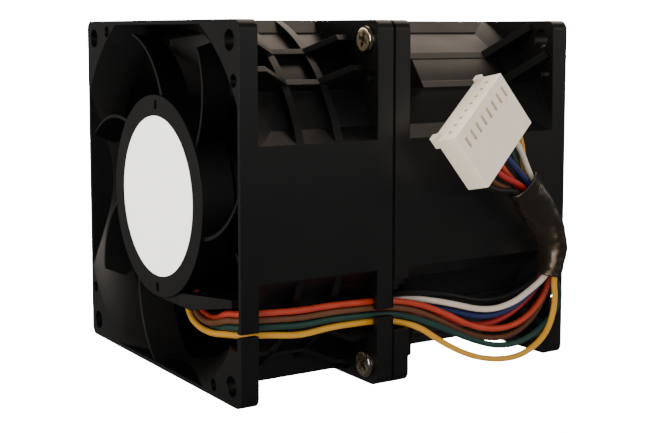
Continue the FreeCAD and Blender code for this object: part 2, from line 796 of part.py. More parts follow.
def board_components(module):
    """Driver chip, capacitors and resistors on the face of the board that looks at the base."""
    face = module.face + board_front
    solids = []
    for share, degrees, size in component_places:
        middle = polar(board_radius * share, degrees)
        wide = chip_width * size / 2
        tall = chip_height * size / 2
        solids.append(block(middle.x - wide, middle.x + wide, face - chip_thickness * size, face,
                            middle.z - tall, middle.z + tall))
    return solids


def label():
    return [cylinder(label_radius, label_recess - label_thickness, label_recess)]


def cross_recess(y_top):
    """Tapered cross for the driver, cut into a screw head."""
    arm = block(-recess_span / 2, recess_span / 2, y_top - 1, y_top + recess_depth,
                -recess_width / 2, recess_width / 2)
    return arm.fuse(about_axis(arm, 90))


def joining_screws():
    """Four pan-head screws that hold the two modules together."""
    seat = front_depth - flange_thickness
    head_top = seat - screw_head_height
    head = cylinder(screw_head_radius, head_top, seat)
    rim = [e for e in head.Edges if abs(e.CenterOfMass.y - head_top) < 0.01 and e.Length > 5]
    head = head.makeFillet(screw_head_height * screw_head_rounding, rim)
    shank = cylinder(screw_radius, seat - overlap, seat + screw_length)
    screw = joined([head, shank]).cut(cross_recess(head_top))
    solids = []
    for corner in range(4):
        copy = screw.copy()
        copy.rotate(Vector(0, 0, 0), Vector(0, 1, 0), screw_first_turn + screw_turn_step * corner)
        place = polar(hole_place * math.sqrt(2), 45 + 90 * corner)
        copy.translate(place)
        solids.append(copy)
    return solids


def connector_frame():
    """Placement of the connector: its width, length and depth as X, Y and Z."""
    across = Vector(connector_across).normalize()
    through = across.cross(connector_along).normalize()
    along = through.cross(across)
    matrix = FreeCAD.Matrix(
        across.x, along.x, through.x, connector_corner.x,
        across.y, along.y, through.y, connector_corner.y,
        across.z, along.z, through.z, connector_corner.z,
        0, 0, 0, 1)
    return FreeCAD.Placement(matrix)


def way_place(index):
    return connector_side_wall + connector_pitch * index


def connector_width():
    return 2 * connector_side_wall + connector_pitch * (connector_ways - 1)


def connector_housing():
    """Housing with its pin holes, lead cavities, latch slots and guide rib."""
    body = block(0, connector_width(), 0, connector_length, 0, connector_depth)
    upright = [e for e in body.Edges if abs(e.tangentAt(e.FirstParameter).y) > 0.9]
    body = body.makeFillet(connector_edge_radius, upright)
    rib_top = connector_depth + guide_rib
    rib = block(0, connector_width(), 0, 2 * guide_rib, connector_depth - overlap, rib_top)
    lug = block(0, 2 * guide_lug, -guide_lug, 2 * guide_rib, connector_depth - guide_lug, rib_top)
    far_lug = lug.copy()
    far_lug.translate(Vector(connector_width() - 2 * guide_lug, 0, 0))
    body = joined([body, rib, lug, far_lug])
    middle = connector_depth / 2
    cutters = []
    for index in range(connector_ways):
        x = way_place(index)
        cutters.append(block(x - cavity_width / 2, x + cavity_width / 2, cavity_start, connector_length + 1,
                             middle - cavity_depth / 2, middle + cavity_depth / 2))
        cutters.append(block(x - pin_hole / 2, x + pin_hole / 2, -1, cavity_start + overlap,
                             middle - pin_hole / 2, middle + pin_hole / 2))
        cutters.append(block(x - latch_slot_width / 2, x + latch_slot_width / 2, latch_slot_start,
                             latch_slot_start + latch_slot_length, -1, latch_slot_depth))
    body = body.cut(cutters)
    body.Placement = connector_frame()
    return body


def crimp_terminals():
    """Brass terminals in the cavities of the housing."""
    solids = []
    middle = connector_depth / 2
    for index in range(connector_ways):
        x = way_place(index)
        size = terminal_size / 2
        solid = block(x - size, x + size, terminal_start, terminal_end, middle - size, middle + size)
        inside = terminal_bore / 2
        bore = block(x - inside, x + inside, terminal_start - 1, terminal_end - terminal_crimp,
                     middle - inside, middle + inside)
        solid = solid.cut(bore)
        solid.Placement = connector_frame()
        solids.append(solid)
    return solids


def station_axes(index):
    """Directions across and through the sleeve at one of its stations."""
    place, across, pitch = sleeve_stations[index]
    before = sleeve_stations[max(index - 1, 0)][0]
    after = sleeve_stations[min(index + 1, len(sleeve_stations) - 1)][0]
    down = (before - after).normalize()
    across = (across - down * across.dot(down)).normalize()
    through = across.cross(down).normalize()
    return place, across, through, pitch


def sleeve_lane(order):
    """Corners of one lead inside the sleeve: four columns and two rows, in the order of the connector."""
    column = order // 2
    row = order % 2
    points = []
    for index in range(len(sleeve_stations)):
        place, across, through, pitch = station_axes(index)
        offset = across * ((column - 1.5) * pitch) + through * ((row - 0.5) * sleeve_row_pitch)
        points.append(place + offset)
    return points


def lead_points(colour):
    """All corners of one lead, from its board to its crimp terminal."""
    order = lead_order.index(colour)
    points = [Vector(*corner) for corner in lead_corners[colour]]
    points += sleeve_lane(order)
    x = way_place(order)
    frame = connector_frame()
    spread = (order % 2 - 0.5) * lead_row_spread
    points.append(frame.multVec(Vector(x, connector_length + lead_straight, connector_depth / 2 + spread)))
    points.append(frame.multVec(Vector(x, connector_length - lead_straight / 2, connector_depth / 2)))
    points.append(frame.multVec(Vector(x, terminal_end, connector_depth / 2)))
    return points


def rounded_path(points):
    """Straight runs joined by tangent arcs; gives the wire and the smallest radius."""
    edges = []
    radii = []
    start = points[0]
    for index in range(1, len(points) - 1):
        corner = points[index]
        back = points[index - 1] - corner
        ahead = points[index + 1] - corner
        cut = bend_share * min(back.Length, ahead.Length)
        turn = math.pi - back.getAngle(ahead)
        radii.append(cut / math.tan(turn / 2))
        back = Vector(back).normalize()
        ahead = Vector(ahead).normalize()
        first = corner + back * cut
        last = corner + ahead * cut
        bisector = (back + ahead).normalize()
        centre_distance = radii[-1] / math.cos(turn / 2)
        middle = corner + bisector * (centre_distance - radii[-1])
        edges.append(Part.LineSegment(start, first).toShape())
        edges.append(Part.Arc(first, middle, last).toShape())
        start = last
    edges.append(Part.LineSegment(start, points[-1]).toShape())
    return Part.Wire(edges), min(radii)


def tube(path, start, second, radius):
    """Round bar along a path that starts at one point and heads for the second."""
    section = Part.Wire(Part.makeCircle(radius, start, (second - start).normalize()))
    return path.makePipeShell([section], True, True)


def lead(colour):
    """One insulated lead as a plain tube along its route."""
    points = lead_points(colour)
    path, smallest = rounded_path(points)
    solid = tube(path, points[0], points[1], lead_radius)
    expected = math.pi * lead_radius ** 2 * path.Length
    print("lead", colour, "length", round(path.Length, 1), "smallest radius", round(smallest, 2),
          "volume share", round(solid.Volume / expected, 4))
    return solid


def sleeve_section(index, extra):
    """Rounded rectangle across the sleeve at one station."""
    place, across, through, pitch = station_axes(index)
    wide = 1.5 * pitch + lead_radius + sleeve_clearance + extra
    deep = sleeve_row_pitch / 2 + lead_radius + sleeve_clearance + extra
    corner = sleeve_corner + extra

    def at(a, b):
        return place + across * a + through * b
    round_in = corner * (1 - math.sqrt(0.5))
    edges = []
    signs = [(1, 1), (-1, 1), (-1, -1), (1, -1)]
    for number, (sa, sb) in enumerate(signs):
        side_on = at(sa * wide, sb * (deep - corner))
        top_on = at(sa * (wide - corner), sb * deep)
        bend = at(sa * (wide - round_in), sb * (deep - round_in))
        first, last = (side_on, top_on) if number % 2 == 0 else (top_on, side_on)
        if edges:
            edges.append(Part.LineSegment(end, first).toShape())
        else:
            begin = first
        edges.append(Part.Arc(first, bend, last).toShape())
        end = last
    edges.append(Part.LineSegment(end, begin).toShape())
    return Part.Wire(edges)


def shrink_sleeve():
    """Shrink sleeve that twists round the leads below the connector."""
    count = len(sleeve_stations)
    outer = Part.makeLoft([sleeve_section(i, sleeve_wall) for i in range(count)], True, True)
    inner = Part.makeLoft([sleeve_section(i, 0) for i in range(count)], True, True)
    return outer.cut(inner)


def write(name, shapes):
    shapes = shapes if isinstance(shapes, list) else [shapes]
    solids = [solid for shape in shapes for solid in shape.Solids]
    body = solids[0] if len(solids) == 1 else Part.makeCompound(solids)
    body.exportStep(os.path.join("parts", name + ".step"))
    state = "valid" if body.isValid() else "NOT VALID"
    print(name, len(solids), "solids", round(body.Volume, 1), "mm3", state)


def main():
    os.makedirs("parts", exist_ok=True)
    write("front_frame", front_frame())
    write("rear_frame", rear_frame())
    modules = {
        "front": Module(0.0, front_depth, front_blades, 1),
        "rear": Module(front_depth, rear_depth, rear_blades, -1),
    }
    for name, module in modules.items():
        write(name + "_impeller", impeller(module))
        write(name + "_rotor_yoke", yoke(module))
        write(name + "_magnet_ring", magnet(module))
        write(name + "_shaft", shaft(module))
        write(name + "_retaining_clip", retaining_clip(module))
        write(name + "_bearing_inner_rings", inner_rings(module))
        write(name + "_bearing_outer_rings", outer_rings(module))
        write(name + "_bearing_balls", balls(module))
        write(name + "_bearing_tube", bearing_tube(module))
        write(name + "_preload_spring", spring(module))
        write(name + "_stator_core", stator_core(module))
        write(name + "_insulator", insulator(module))
        write(name + "_windings", windings(module))
        write(name + "_circuit_board", circuit_board(module))
        write(name + "_board_components", board_components(module))
    write("front_label", label())
    write("joining_screws", joining_screws())
    write("connector_housing", connector_housing())
    write("crimp_terminals", crimp_terminals())
    write("shrink_sleeve", shrink_sleeve())
    for colour in lead_order:
        write("wire_" + colour, lead(colour))


main()
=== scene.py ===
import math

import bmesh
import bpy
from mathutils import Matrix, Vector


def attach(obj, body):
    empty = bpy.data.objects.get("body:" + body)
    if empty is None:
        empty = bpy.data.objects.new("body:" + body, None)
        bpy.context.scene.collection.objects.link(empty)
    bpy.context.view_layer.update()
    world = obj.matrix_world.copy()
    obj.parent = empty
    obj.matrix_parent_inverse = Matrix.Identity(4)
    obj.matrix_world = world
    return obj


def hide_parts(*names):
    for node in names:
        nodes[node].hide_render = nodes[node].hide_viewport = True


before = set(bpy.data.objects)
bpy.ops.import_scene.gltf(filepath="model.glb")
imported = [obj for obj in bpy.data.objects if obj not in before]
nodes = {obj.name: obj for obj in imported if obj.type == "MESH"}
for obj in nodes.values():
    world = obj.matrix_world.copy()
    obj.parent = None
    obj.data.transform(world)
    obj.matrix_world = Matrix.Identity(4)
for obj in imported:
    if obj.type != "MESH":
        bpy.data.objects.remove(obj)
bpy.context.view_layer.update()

# %% [markdown]
# # A server fan with two modules
# The fan's solids are already here: two moulded frames screwed back to back, a rotor in each, and a
# harness of thin leads with a flat plug. This lesson dresses them. It starts with the view and the
# leads, because everything else is judged through that view, and ends with the finishes and the light.
# Lengths are in metres, and MM turns millimetres to metres. The corners and sections of the leads, the
# sleeve and the plug stay in millimetres until their points are set. The air runs along +Y and Z is up.

MM = 0.001
print("pieces:", len(nodes))

# %% [markdown]
# Three places are read off the two frames, so that the finishes and the light keep to them: where the
# modules meet, where the fan ends at the back, and what it stands on. The front face is at zero.

# %% Places on the frames
seam = max(corner[1] for corner in nodes["front_frame"].bound_box)
fan_back = max(corner[1] for corner in nodes["rear_frame"].bound_box)
fan_foot = min(corner[2] for corner in nodes["front_frame"].bound_box)
print("seam, back and foot, mm:", [round(place / MM, 2) for place in (seam, fan_back, fan_foot)])

# %% [markdown]
# ## The camera
# The fan is seen from its labelled face and its right side, from a little above the middle.
# A long lens keeps the square flanges nearly parallel, yet the near corner still looks taller than
# the far one, which sets the distance. As in a view camera, a small shift of the frame does part of
# the looking down, so the camera is tilted less and upright edges stay nearly upright.

# %% Camera
camera_place = Vector((257.1, -118.0, 37.4)) * MM
camera_turn = math.radians(57.6)
camera_drop = math.radians(5.53)

camera = bpy.data.objects.new("camera", bpy.data.cameras.new("camera"))
bpy.context.scene.collection.objects.link(camera)
camera.location = camera_place
level = math.cos(camera_drop)
ahead = Vector((-math.sin(camera_turn) * level, math.cos(camera_turn) * level, -math.sin(camera_drop)))
camera.rotation_mode = "QUATERNION"
camera.rotation_quaternion = ahead.to_track_quat("-Z", "Y")
camera.data.sensor_width = 36
camera.data.lens = 68.5
camera.data.shift_x = 0.0028
camera.data.shift_y = -0.1
camera.data.clip_start = 0.01
camera.data.clip_end = 20
bpy.context.scene.camera = camera
print("camera is", round(camera_place.length / MM), "mm from the labelled face")

# %% [markdown]
# ## Routes of the leads
# Each lead is a thin stranded wire in soft insulation. It leaves its driver board through a gap in
# the motor's rim, follows a strut, and lies in the pocket along the side of the fan. A lead could be
# a mesh tube, but a curve with a round bevel is easier to route: only the corners are given, and a
# spline of order 3 rounds them. The corners are those of the solid leads, in millimetres. In their
# list below, the first four leads come from the front module and the last four from the rear one.

# %% Corners of the leads
lead_diameter = 1.4 * MM
lead_order = ["black", "brown", "red", "orange", "blue", "green", "white", "yellow"]
lead_corners = {
    "orange": [
        (7.7, 4.7, -13.7), (9.6, 4.7, -18.8), (11.9, 5.0, -24.7), (18.0, 4.9, -25.6),
        (25.0, 3.2, -23.5), (30.6, 1.8, -21.5), (35.8, 2.4, -20.9), (38.7, 7.6, -20.5),
        (39.0, 14.5, -20.9), (38.9, 22.0, -20.7), (38.2, 29.0, -21.1), (36.9, 35.0, -21.6),
        (37.2, 40.0, -22.0), (39.0, 45.4, -23.0), (41.4, 50.9, -25.3), (43.6, 57.5, -29.0),
        (44.4, 65.2, -30.4), (44.4, 72.3, -29.0), (44.2, 77.9, -24.6),
    ],
    "brown": [
        (6.1, 4.7, -14.3), (8.0, 4.7, -19.4), (10.4, 4.3, -25.2), (17.0, 3.2, -26.1),
        (24.5, 2.2, -24.9), (30.6, 1.8, -23.0), (35.8, 2.4, -22.4), (38.7, 7.6, -22.0),
        (39.0, 14.5, -22.5), (38.9, 22.0, -22.2), (38.2, 29.0, -22.6), (36.9, 35.0, -23.1),
        (37.2, 40.0, -23.5), (39.0, 45.4, -24.6), (40.9, 50.8, -27.3), (42.4, 58.5, -31.4),
        (42.9, 67.0, -33.2), (42.9, 74.9, -30.6), (42.9, 79.7, -24.6),
    ],
    "green": [
        (4.5, 4.7, -14.9), (6.4, 4.7, -20.0), (9.0, 5.1, -25.9), (15.8, 4.9, -27.3),
        (24.0, 3.6, -26.3), (30.6, 1.8, -24.5), (35.8, 2.4, -23.9), (38.7, 7.6, -23.5),
        (39.0, 14.5, -24.1), (38.9, 22.0, -23.7), (38.2, 29.0, -24.1), (36.9, 35.0, -24.6),
        (37.2, 40.0, -25.0), (39.2, 44.8, -26.2), (42.2, 49.2, -28.1), (44.7, 55.4, -31.2),
        (45.8, 62.9, -33.8), (45.9, 71.1, -33.6), (45.9, 79.3, -29.4), (46.1, 82.2, -23.5),
    ],
    "yellow": [
        (2.9, 4.7, -15.5), (4.8, 4.7, -20.6), (7.4, 4.3, -26.6), (14.6, 3.2, -27.9),
        (23.0, 2.2, -27.5), (30.6, 1.8, -26.0), (35.8, 2.4, -25.4), (38.7, 7.6, -25.2),
        (39.0, 14.5, -26.2), (38.9, 22.0, -25.4), (38.2, 29.0, -25.6), (36.9, 35.0, -26.1),
        (37.4, 40.0, -26.6), (39.9, 45.2, -28.0), (43.2, 48.6, -31.2), (46.4, 54.4, -34.6),
        (47.4, 62.0, -36.4), (47.4, 69.8, -36.2), (47.4, 76.7, -32.2), (47.2, 79.3, -25.0),
    ],
    "black": [
        (7.7, 42.7, -13.7), (9.6, 42.7, -18.8), (11.9, 42.9, -24.7), (18.0, 42.6, -25.6),
        (25.0, 41.4, -23.2), (30.4, 40.2, -21.7), (35.0, 41.0, -21.0), (37.0, 45.8, -20.7),
        (39.6, 53.0, -21.6), (41.0, 61.5, -24.1), (41.4, 68.8, -23.9), (41.4, 75.7, -21.8),
    ],
    "white": [
        (6.1, 42.7, -14.3), (8.0, 42.7, -19.4), (10.4, 42.3, -25.2), (17.0, 41.0, -26.6),
        (24.6, 40.2, -24.9), (30.4, 40.2, -23.2), (35.0, 41.0, -22.5), (37.0, 45.8, -22.2),
        (41.0, 52.5, -23.3), (44.8, 60.0, -25.4), (45.9, 67.0, -24.4), (45.8, 72.9, -21.6),
    ],
    "blue": [
        (4.5, 42.7, -14.9), (6.4, 42.7, -20.0), (9.0, 43.1, -25.9), (15.8, 42.7, -27.7),
        (24.0, 41.6, -26.4), (30.4, 40.2, -24.7), (35.0, 41.0, -24.0), (37.0, 45.8, -23.7),
        (40.2, 52.5, -25.1), (43.6, 60.5, -27.3), (44.4, 67.9, -26.1), (44.4, 74.4, -22.6),
    ],
    "red": [
        (2.9, 42.7, -15.5), (4.8, 42.7, -20.6), (7.4, 42.3, -26.6), (14.4, 41.0, -28.4),
        (23.0, 40.2, -27.6), (30.4, 40.2, -26.2), (35.0, 41.0, -25.5), (37.0, 45.8, -25.3),
        (39.6, 52.3, -27.1), (42.2, 60.5, -29.7), (42.9, 68.4, -28.0), (42.9, 75.7, -23.6),
    ],
}
print("leads:", len(lead_corners))

# %% [markdown]
# Inside the sleeve the eight leads lie in two rows of four, and the bundle twists on its way up to
# the plug. The sleeve's middle line, its width direction and the pitch of the leads are given at a few
# stations, so the leads and the sleeve are worked out from one set of values and can't part.

# %% Lanes of the leads in the sleeve
sleeve_stations = [
    (Vector((45.1, 78.6, -19.1)), Vector((0.82, -0.57, 0.0)), 1.7),
    (Vector((45.3, 80.0, -13.0)), Vector((0.99, -0.09, 0.0)), 1.6),
    (Vector((45.6, 77.2, -6.8)), Vector((0.87, 0.5, 0.0)), 1.65),
    (Vector((46.2, 72.7, -1.3)), Vector((0.34, 0.8, 0.5)), 1.65),
    (Vector((46.6, 68.9, 3.4)), Vector((-0.255, 0.769, 0.586)), 1.7),
]
row_pitch = 1.6
lead_rows, lead_columns = 2, 4


def station_axes(index):
    """Place, directions across and through the sleeve, and lead pitch at one station."""
    place, across, pitch = sleeve_stations[index]
    before = sleeve_stations[max(index - 1, 0)][0]
    after = sleeve_stations[min(index + 1, len(sleeve_stations) - 1)][0]
    down = (before - after).normalized()
    across = (across - down * across.dot(down)).normalized()
    through = across.cross(down).normalized()
    return place, across, through, pitch


def sleeve_lane(order):
    """Corners of one lead inside the sleeve, in the order of the plug."""
    column, row = order // lead_rows, order % lead_rows
    column_offset, row_offset = column - (lead_columns - 1) / 2, row - (lead_rows - 1) / 2
    points = []
    for index in range(len(sleeve_stations)):
        place, across, through, pitch = station_axes(index)
        points.append(place + across * column_offset * pitch + through * row_offset * row_pitch)
    return points


station_places = [station[0] for station in sleeve_stations]
steps = [(after - before).length for before, after in zip(station_places, station_places[1:])]
print("sleeve is", round(sum(steps), 1), "mm long")

# %% [markdown]
# Above the sleeve the leads fan out to their ways in the plug. The plug leans, so its corner and two of
# its directions are given, which leads to the third. Each lead's last points are counted from them:
# how far across, how far along, and half way through the plug's thickness. Just outside the plug the
# two rows of leads are still a little apart.

# %% Last points in the plug
plug_corner = Vector((53.2, 44.4, 15.2))
plug_across = Vector((-0.255, 0.769, 0.586)).normalized()
plug_along = Vector((0.043, 0.614, -0.788))
plug_along = (plug_along - plug_across * plug_along.dot(plug_across)).normalized()
plug_through = plug_across.cross(plug_along)
plug_ways, plug_pitch, plug_side, plug_length, plug_depth = 8, 2.5, 2.45, 14.0, 6.0
terminal_end, lead_straight, row_spread = 7.4, 3.0, 0.8


def plug_points(order):
    """The lead's last three points: outside the plug, inside it, and in its terminal."""
    across = plug_side + plug_pitch * order
    spread = (order % lead_rows - 0.5) * row_spread
    middle = plug_depth / 2
    places = [(plug_length + lead_straight, middle + spread), (plug_length - lead_straight / 2, middle),
              (terminal_end, middle)]
    side = plug_corner + plug_across * across
    return [side + plug_along * along + plug_through * depth for along, depth in places]


print("plug is", plug_side * 2 + plug_pitch * (plug_ways - 1), "mm wide")

# %% [markdown]
# ## The leads themselves
# Every lead is one NURBS spline. Its order and its fixed ends are set once the points are there, as
# they would fall back to straight runs otherwise. A round bevel of one metre is scaled at each point
# by the point's own radius, which is that of the insulation.


def lead_curve(colour):
    """One lead along its route, with its solid tube hidden."""
    order = lead_order.index(colour)
    corners = [Vector(corner) for corner in lead_corners[colour]]
    route = corners + sleeve_lane(order) + plug_points(order)
    curve = bpy.data.curves.new("lead_" + colour, "CURVE")
    curve.dimensions = "3D"
    curve.resolution_u = 8
    curve.bevel_depth = 1
    curve.bevel_resolution = 3
    curve.use_fill_caps = True
    spline = curve.splines.new("NURBS")
    spline.points.add(len(route) - 1)
    for point, corner in zip(spline.points, route):
        point.co = (*(corner * MM), 1)
        point.radius = lead_diameter / 2
    spline.order_u = 3
    spline.use_endpoint_u = True
    lead = bpy.data.objects.new("lead_" + colour, curve)
    bpy.context.scene.collection.objects.link(lead)
    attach(lead, "frame")
    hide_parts("wire_" + colour)
    return lead


leads = {colour: lead_curve(colour) for colour in lead_order}

# %% [markdown]
# ## The shrink sleeve
# The sleeve is a thin black film that was shrunk on the bundle with hot air, so it follows the leads
# inside and wrinkles where they bend. A round tube on a curve wouldn't do, because the bundle is flat
# and twists, so sections of the film are blended between the stations instead, with the same
# second-order weights that round the leads. A place below and one above the stations stand for where
# the leads come in and go out.

# %% Stations of the film
def film_axes():
    """Axes of the stations, with a place below and one above them where the leads come in and go out."""
    axes = [station_axes(index) for index in range(len(sleeve_stations))]
    below = sum((Vector(corners[-1]) for corners in lead_corners.values()), Vector()) / len(lead_order)
    above = sum((plug_points(order)[0] for order in range(len(lead_order))), Vector()) / len(lead_order)
    return [(below, *axes[0][1:]), *axes, (above, *axes[-1][1:])]


film_stations = film_axes()


def blend_weights(place):
    """Second-order spline weights of the stations at a place counted in stations."""
    distances = [abs(place - index) for index in range(len(film_stations))]
    return [0.75 - far * far if far < 0.5 else max(0, 1.5 - far) ** 2 / 2 for far in distances]


print("stations of the film:", len(film_stations))

# %% [markdown]
# The section of the film is a rounded box, because it goes round two rows of leads. Long folds and
# short ones wind along it and draw it in a little, and it opens slightly at both of its cut ends.

# %% Section of the film
sleeve_room = 0.8
sleeve_film = 0.35
# A power of 1 makes the section an ellipse, and a smaller one makes it squarer.
section_power = 0.75
# Each set of folds has a depth as a share of the section, radians along the sleeve, and waves round it.
film_folds = [(0.035, 34, 3), (0.02, 71, -2)]
# The film widens at these rates per whole length, above one share of it and below the other.
top_flare, top_flare_start = 0.5, 0.9
low_flare, low_flare_end = 0.8, 0.12


def sleeve_point(share, turn):
    """Point of the film at a share of its length and a turn round it, in millimetres."""
    weights = blend_weights(1 + share * (len(film_stations) - 3))
    weighted = list(zip(film_stations, weights))
    middle = sum((station[0] * weight for station, weight in weighted), Vector())
    across = sum((station[1] * weight for station, weight in weighted), Vector()).normalized()
    through = sum((station[2] * weight for station, weight in weighted), Vector()).normalized()
    pitch = sum(station[3] * weight for station, weight in weighted)
    wide = (lead_columns - 1) / 2 * pitch + lead_diameter / MM / 2 + sleeve_room + sleeve_film
    deep = (lead_rows - 1) / 2 * row_pitch + lead_diameter / MM / 2 + sleeve_room + sleeve_film
    cosine, sine = math.cos(turn), math.sin(turn)
    x = wide * math.copysign(abs(cosine) ** section_power, cosine)
    z = deep * math.copysign(abs(sine) ** section_power, sine)
    ripple = 1
    for depth, along, around in film_folds:
        ripple -= depth * (0.5 + 0.5 * math.sin(share * along + around * turn))
    flare = 1 + top_flare * max(0, share - top_flare_start) + low_flare * max(0, low_flare_end - share)
    return middle + (across * x + through * z) * ripple * flare


widest = (sleeve_point(0.5, 0) - sleeve_point(0.5, math.pi)).length
print("sleeve is", round(widest, 1), "mm wide at its middle")

# %% [markdown]
# The film's mesh starts as one ring of vertices. Its edges are extruded once for each section, and
# each new ring is moved to its section.

# %% Film
sleeve_sections = 46
sleeve_ring = 40


def sleeve_film_mesh():
    """Ring of vertices extruded from section to section."""
    shape = bmesh.new()
    ring = bmesh.ops.create_circle(shape, cap_ends=False, radius=1, segments=sleeve_ring)["verts"]
    for section in range(sleeve_sections + 1):
        if section:
            edges = [edge for edge in shape.edges if all(vert in ring for vert in edge.verts)]
            made = bmesh.ops.extrude_edge_only(shape, edges=edges)["geom"]
            ring = [item for item in made if isinstance(item, bmesh.types.BMVert)]
        for number, vert in enumerate(ring):
            vert.co = sleeve_point(section / sleeve_sections, 2 * math.pi * number / sleeve_ring) * MM
    bmesh.ops.recalc_face_normals(shape, faces=shape.faces)
    mesh = bpy.data.meshes.new("sleeve_film")
    shape.to_mesh(mesh)
    shape.free()
    return mesh


print("sleeve sections:", sleeve_sections)

# %% [markdown]
# The film gets its wall from a Solidify modifier, which grows inwards from the outer skin. The piece
# rides on the frame with the leads and takes the place of the plain solid sleeve.

# %% Sleeve
sleeve = bpy.data.objects.new("sleeve", sleeve_film_mesh())
bpy.context.scene.collection.objects.link(sleeve)
for face in sleeve.data.polygons:
    face.use_smooth = True
wall = sleeve.modifiers.new("film thickness", "SOLIDIFY")
wall.thickness = sleeve_film * MM
wall.offset = -1
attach(sleeve, "frame")
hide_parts("shrink_sleeve")
print("sleeve faces:", len(sleeve.data.polygons))

# %% [markdown]
# ## Tools for the finishes
# A finish is a small tree of shader nodes. One helper adds a node with its settings and its links,
# and another turns the hex colour that a designer would write into the linear values that light is
# counted in. Patterns are counted in millimetres: a noise of a given grain has a scale of one over
# that grain, in metres.

# %% Node helpers
def linear(hex_colour):
    """Linear colour of an sRGB hex value such as #1a1a1a."""
    parts = [int(hex_colour[i:i + 2], 16) / 255 for i in (1, 3, 5)]
    return (*[part / 12.92 if part <= 0.04045 else ((part + 0.055) / 1.055) ** 2.4 for part in parts], 1)


def add(tree, kind, settings=(), **inputs):
    """New shader node. Settings are its own properties; each input is a value or an output to link.

    An input goes by its name, or by its number as in n6 where a node has several of one name.
    """
    node = tree.nodes.new("ShaderNode" + kind)
    for name, value in dict(settings).items():
        setattr(node, name, value)
    for name, value in inputs.items():
        numbered = name[0] == "n" and name[1:].isdigit()
        socket = node.inputs[int(name[1:])] if numbered else node.inputs[name.replace("_", " ")]
        if isinstance(value, bpy.types.NodeSocket):
            tree.links.new(value, socket)
        else:
            socket.default_value = value
    return node


def grain(millimetres):
    """Scale of a texture whose pattern repeats about every so many millimetres."""
    return 1 / (millimetres * MM)


print("one millimetre is scale", grain(1))

# %% [markdown]
# Every finish begins with an empty material and ends with its shader linked to the surface. Most of
# a noise's values lie in the middle of its range, so a gloss that follows a noise is spread over that
# middle part.

# %% Start and end of a finish
noise_low, noise_high = 0.3, 0.7


def new_finish(name):
    """Empty material with its surface output; gives the material, its tree and the output."""
    material = bpy.data.materials.new(name)
    material.use_nodes = True
    tree = material.node_tree
    tree.nodes.clear()
    return material, tree, add(tree, "OutputMaterial")


def close_finish(material, tree, output, shader):
    """Material with its shader linked to the surface."""
    tree.links.new(shader.outputs["BSDF"], output.inputs["Surface"])
    print("finish:", material.name)
    return material


print("noise mostly lies from", noise_low, "to", noise_high)

# %% [markdown]
# ## Moulded black plastic
# The frames and impellers are moulded from PBT filled with glass fibre: black, and neither matt nor
# glossy. The mould's fine spark-eroded texture scatters the light. It is drawn as bumps of half a
# millimetre, coarser than it is, because it would be too fine to show. The flow of the melt leaves faint
# cloudy changes of gloss, and moulded edges are never sharp, so they catch a thin line of light. The
# edge is rounded in the shader, because the frame's own solids must stay as they are.
# Where the two flanges meet, their rounded edges leave a groove that is too fine for the solids. Its
# shade is painted: the shader takes the shine off a thin band at the seam, so that band looks black.

# %% Black plastic
# Painted shade of the groove: no shine within the first half-width, full shine beyond the second.
groove_shade_core, groove_shade_fade = 0.2 * MM, 0.5 * MM
plain_specular = 0.5


def moulded_plastic(name, dark, pale, roughness, round_edge, groove_place=None):
    """Black plastic with spark texture, cloudy gloss and soft edges, and a painted groove shade at a
    given place.
    """
    material, tree, output = new_finish(name)
    place = add(tree, "TexCoord").outputs["Object"]
    cloud = add(tree, "TexNoise", Vector=place, Scale=grain(16), Detail=4, Roughness=0.6)
    spark = add(tree, "TexNoise", Vector=place, Scale=grain(0.45), Detail=2, Roughness=0.5)
    tone = add(tree, "Mix", {"data_type": "RGBA"}, n0=cloud.outputs["Fac"],
               n6=linear(dark), n7=linear(pale))
    gloss = add(tree, "MapRange", Value=cloud.outputs["Fac"], From_Min=noise_low, From_Max=noise_high,
                To_Min=roughness - 0.05, To_Max=roughness + 0.06)
    edge = add(tree, "Bevel", {"samples": 4}, Radius=round_edge * MM)
    skin = add(tree, "Bump", Strength=0.18, Distance=0.012 * MM, Height=spark.outputs["Fac"],
               Normal=edge.outputs[0])
    shader = add(tree, "BsdfPrincipled", Base_Color=tone.outputs[2], Roughness=gloss.outputs[0],
                 IOR=1.5, Normal=skin.outputs[0])
    # Painted shade: a thin band round the seam loses its shine and looks black, standing in for the
    # groove's shadow.
    if groove_place is not None:
        along = add(tree, "SeparateXYZ", Vector=place).outputs["Y"]
        offset = add(tree, "Math", {"operation": "SUBTRACT"}, n0=along, n1=groove_place)
        far = add(tree, "Math", {"operation": "ABSOLUTE"}, n0=offset.outputs[0])
        open_air = add(tree, "MapRange", Value=far.outputs[0], From_Min=groove_shade_core,
                       From_Max=groove_shade_fade, To_Min=0, To_Max=plain_specular)
        tree.links.new(open_air.outputs[0], shader.inputs["Specular IOR Level"])
    return close_finish(material, tree, output, shader)


frame_plastic = moulded_plastic("moulded_black_pbt", "#070707", "#0d0c0b", 0.4, 0.3, groove_place=seam)
blade_plastic = moulded_plastic("moulded_black_pbt_blades", "#060606", "#0b0b0a", 0.34, 0.2)

# %% [markdown]
# ## Insulation of the leads
# The insulation is soft PVC, extruded in one colour over the strands. It is waxy more than glossy.
# The strands under it leave it faintly uneven, and handling makes duller and paler patches. A texture
# could run along each lead, but noise is enough at this size. Each lead has a colour and a shade.

